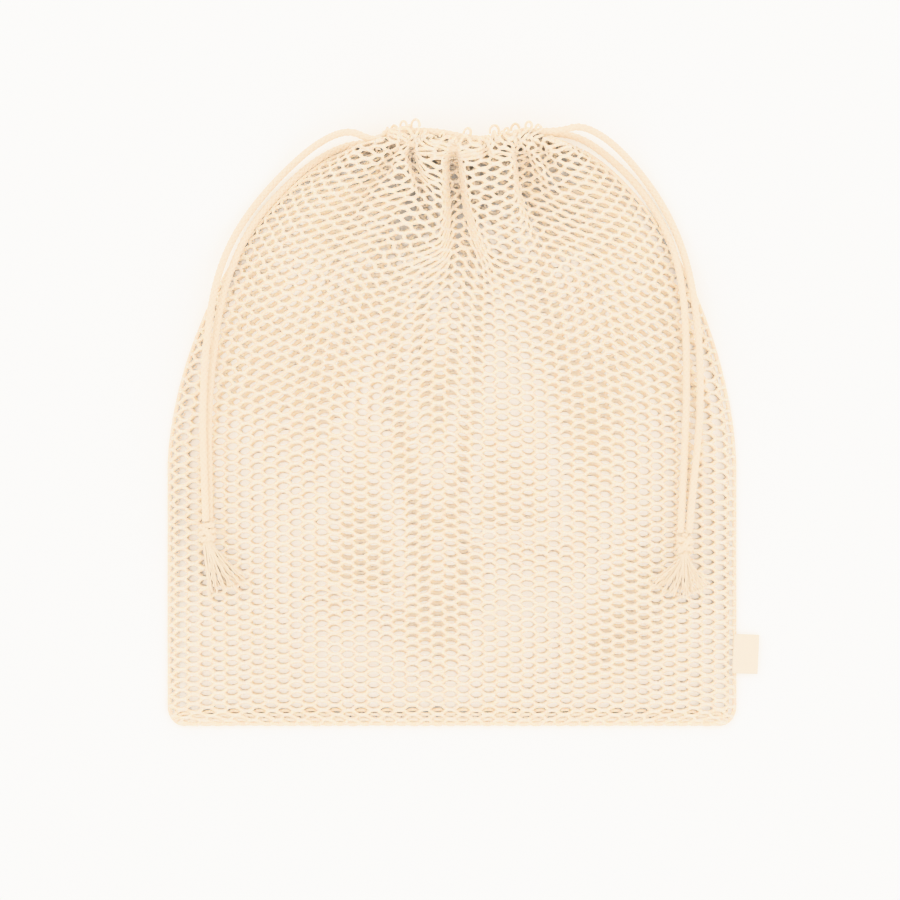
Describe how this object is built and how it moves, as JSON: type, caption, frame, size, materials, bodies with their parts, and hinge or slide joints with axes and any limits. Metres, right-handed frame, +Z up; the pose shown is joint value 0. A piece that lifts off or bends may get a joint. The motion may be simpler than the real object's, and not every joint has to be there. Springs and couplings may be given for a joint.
{
  "type": "mesh produce bag",
  "caption": "Cotton mesh produce bag lying flat, its mouth drawn in by a pair of knotted drawstrings laid down its sides.",
  "frame": {"origin": "middle of the back panel's outer face, on the surface that the bag lies on", "axes": "+X across the bag to its right side, +Y towards the mouth, +Z up from the surface through the bag's thickness"},
  "size_m": [0.2962, 0.2995, 0.0239],
  "materials": {
    "net": "matte",
    "thread": "matte",
    "cord": "matte",
    "tassel": "matte",
    "label": "matte"
  },
  "bodies": {
    "bag": {"front_panel": "net", "back_panel": "net", "front_casing": "net", "back_casing": "net", "left_side_seam": "thread", "right_side_seam": "thread", "bottom_seam": "thread", "front_casing_stitches": "thread", "back_casing_stitches": "thread", "left_cord_turn": "cord", "right_cord_turn": "cord"},
    "left_drawstring": {"left_cord_front_channel": "cord", "left_cord_back_channel": "cord", "left_cord_front_run": "cord", "left_cord_back_run": "cord", "left_knot": "cord", "left_tassel": "tassel"},
    "right_drawstring": {"right_cord_front_channel": "cord", "right_cord_back_channel": "cord", "right_cord_front_run": "cord", "right_cord_back_run": "cord", "right_knot": "cord", "right_tassel": "tassel"},
    "label": {"side_label": "label"}
  },
  "joints": [
    {"name": "left_pull", "type": "slide", "parent": "bag", "child": "left_drawstring", "axis": [-1, 0, 0], "range_m": [0, 0.035]},
    {"name": "right_pull", "type": "slide", "parent": "bag", "child": "right_drawstring", "axis": [1, 0, 0], "range_m": [0, 0.035]},
    {"name": "label_flip", "type": "hinge", "parent": "bag", "child": "label", "pos_m": [0.1428, -0.1132, 0.0022], "axis": [0, -1, 0], "range_deg": [0, 90]}
  ]
}
